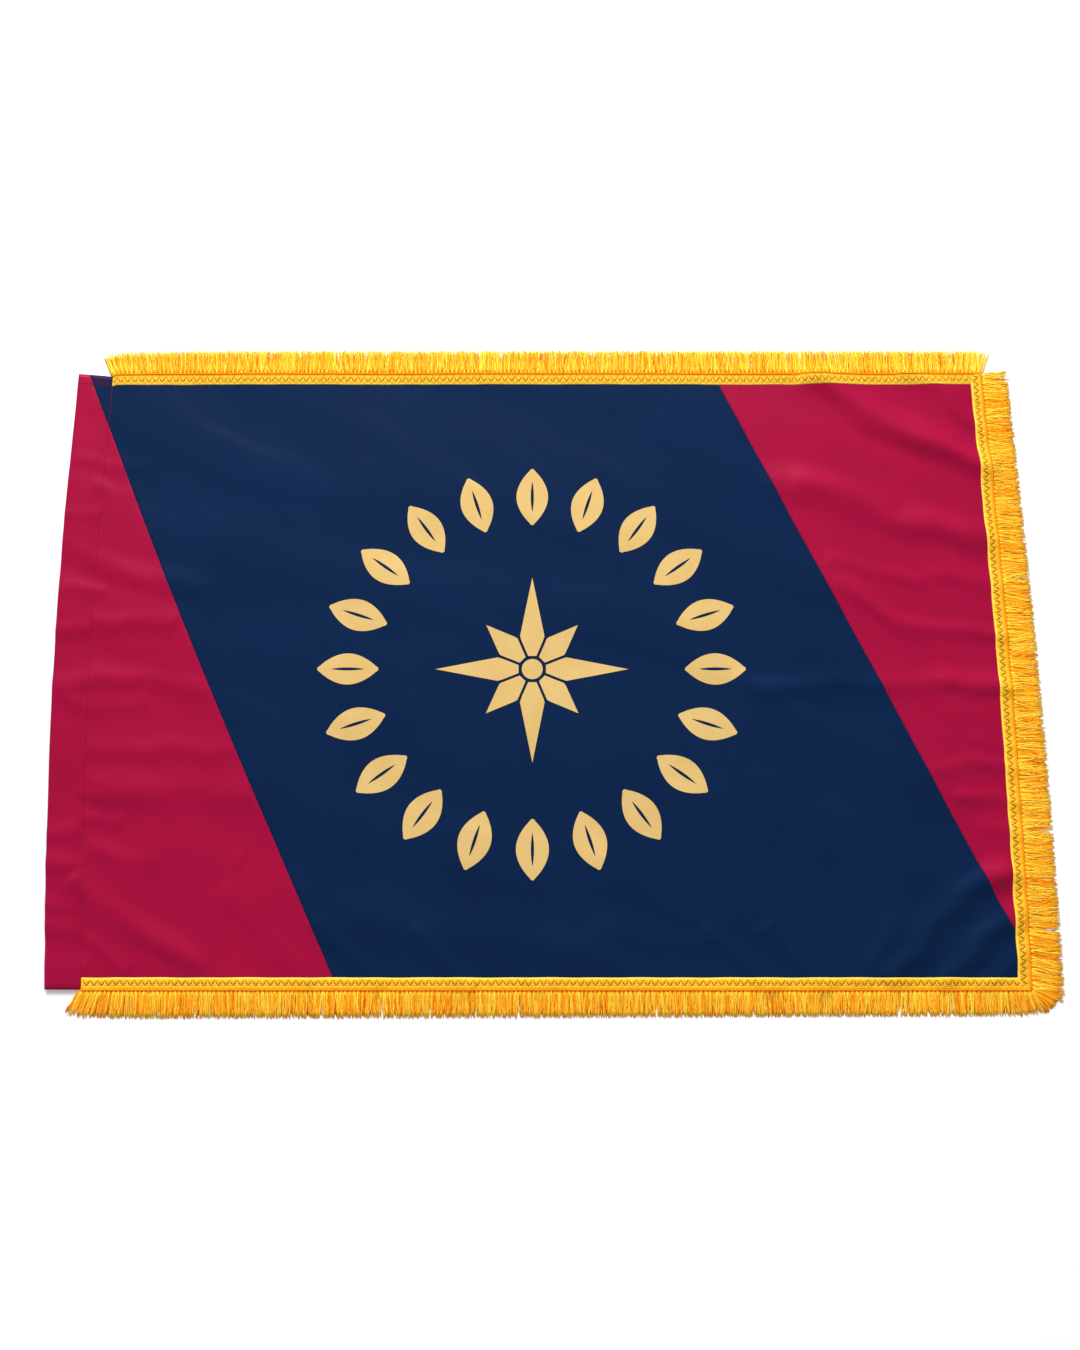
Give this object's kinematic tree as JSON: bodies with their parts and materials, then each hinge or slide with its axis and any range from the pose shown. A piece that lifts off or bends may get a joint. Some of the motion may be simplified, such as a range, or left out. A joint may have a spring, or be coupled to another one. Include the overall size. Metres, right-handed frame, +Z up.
{
  "type": "fringed ceremonial flag with a pole sleeve",
  "caption": "Fringed ceremonial flag lying face up: panels joined on the diagonal, a pole sleeve down the hoist edge, a leaf ring and star emblem, and a gold bullion fringe.",
  "frame": {"origin": "centre of the underside of the laid-out flag, fringe included, on the surface that it lies on", "axes": "+X along the fly, away from the pole sleeve; +Y towards the top edge; +Z up, out of the flag's front face"},
  "size_m": [0.9452, 0.664, 0.0089],
  "materials": {
    "red_cloth": "crimson satin-weave rayon, soft sheen",
    "navy_cloth": "navy satin-weave rayon, soft sheen",
    "emblem_cloth": "flat cream-gold cloth, cut and fused",
    "gold_heading": "woven gold rayon tape",
    "zigzag_thread": "brown-gold sewing thread",
    "edge_cord": "orange-gold chain-stitched cord",
    "gold_fringe": "twisted gold rayon bullion yarn, glossy",
    "red_thread": "red sewing thread",
    "leather": "brown vegetable-tanned leather"
  },
  "bodies": {
    "root": {"hoist_panel": "red_cloth", "centre_panel": "navy_cloth", "fly_panel": "red_cloth", "sleeve_back": "red_cloth", "leather_tab_top": "leather", "leather_tab_bottom": "leather", "sleeve_seam_thread": "red_thread", "sleeve_hem_thread_top": "red_thread", "sleeve_hem_thread_bottom": "red_thread", "heading_top": "gold_heading", "zigzag_thread_top": "zigzag_thread", "edge_cord_top": "edge_cord", "skirt_top": "gold_fringe", "heading_fly": "gold_heading", "zigzag_thread_fly": "zigzag_thread", "edge_cord_fly": "edge_cord", "skirt_fly": "gold_fringe", "heading_bottom": "gold_heading", "zigzag_thread_bottom": "zigzag_thread", "edge_cord_bottom": "edge_cord", "skirt_bottom": "gold_fringe", "skirt_corner": "gold_fringe", "emblem_leaf_01": "emblem_cloth", "emblem_leaf_02": "emblem_cloth", "emblem_leaf_03": "emblem_cloth", "emblem_leaf_04": "emblem_cloth", "emblem_leaf_05": "emblem_cloth", "emblem_leaf_06": "emblem_cloth", "emblem_leaf_07": "emblem_cloth", "emblem_leaf_08": "emblem_cloth", "emblem_leaf_09": "emblem_cloth", "emblem_leaf_10": "emblem_cloth", "emblem_leaf_11": "emblem_cloth", "emblem_leaf_12": "emblem_cloth", "emblem_leaf_13": "emblem_cloth", "emblem_leaf_14": "emblem_cloth", "emblem_leaf_15": "emblem_cloth", "emblem_leaf_16": "emblem_cloth", "emblem_leaf_17": "emblem_cloth", "emblem_leaf_18": "emblem_cloth", "emblem_leaf_19": "emblem_cloth", "emblem_leaf_20": "emblem_cloth", "star_point_1": "emblem_cloth", "star_point_2": "emblem_cloth", "star_point_3": "emblem_cloth", "star_point_4": "emblem_cloth", "star_point_5": "emblem_cloth", "star_point_6": "emblem_cloth", "star_point_7": "emblem_cloth", "star_point_8": "emblem_cloth", "star_centre": "emblem_cloth"}
  },
  "joints": []
}
